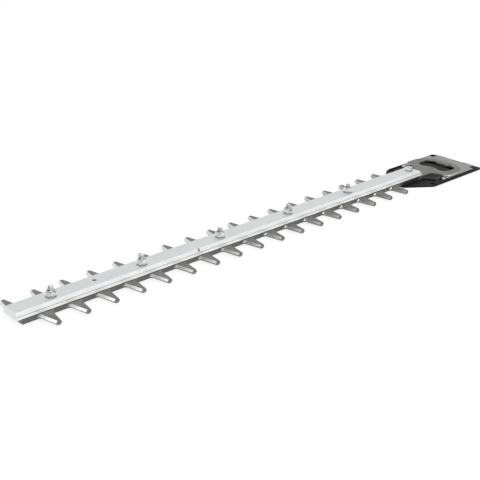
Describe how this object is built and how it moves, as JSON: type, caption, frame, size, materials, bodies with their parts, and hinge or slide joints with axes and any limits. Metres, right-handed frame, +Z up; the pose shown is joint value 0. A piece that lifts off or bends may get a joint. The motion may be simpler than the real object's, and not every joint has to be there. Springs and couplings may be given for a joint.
{
  "type": "hedge trimmer blade",
  "caption": "Double-sided reciprocating hedge trimmer blade: two toothed steel blades sliding under a screwed guide bar, with slotted drive yokes over a black base tray.",
  "frame": {"origin": "crank axis at the underside of the base tray, in the middle of the four mounting holes", "axes": "+X along the guide bar to its tip, +Z up to the nuts, +Y to the left of the bar"},
  "size_m": [0.6585, 0.072, 0.0225],
  "materials": {
    "bar_aluminium": "satin, brushed along its length",
    "blade_steel": "rolled steel with ground bevels",
    "tray_paint": "semi-gloss black",
    "guide_zinc": "zinc plated, matt",
    "fastener_zinc": "bright zinc",
    "collar_steel": "turned steel"
  },
  "bodies": {
    "bar_frame": {"guide_bar": "bar_aluminium", "base_tray": "tray_paint", "yoke_guide": "guide_zinc", "frame_rivets": "guide_zinc", "guide_pins": "fastener_zinc", "guide_screws": "fastener_zinc", "base_screw": "fastener_zinc", "nut_washers": "fastener_zinc", "lock_nuts": "fastener_zinc", "guide_sleeve_1": "collar_steel", "guide_sleeve_2": "collar_steel", "guide_sleeve_3": "collar_steel", "guide_sleeve_4": "collar_steel", "guide_sleeve_5": "collar_steel", "guide_sleeve_6": "collar_steel", "support_disc_1": "collar_steel", "support_disc_2": "collar_steel", "support_disc_3": "collar_steel", "support_disc_4": "collar_steel", "support_disc_5": "collar_steel"},
    "upper_blade": {"upper_blade": "blade_steel"},
    "lower_blade": {"lower_blade": "blade_steel"}
  },
  "joints": [
    {"name": "upper_blade_slide", "type": "slide", "parent": "bar_frame", "child": "upper_blade", "axis": [1, 0, 0], "range_m": [0, 0.015]},
    {"name": "lower_blade_slide", "type": "slide", "parent": "bar_frame", "child": "lower_blade", "axis": [1, 0, 0], "range_m": [-0.015, 0]}
  ]
}
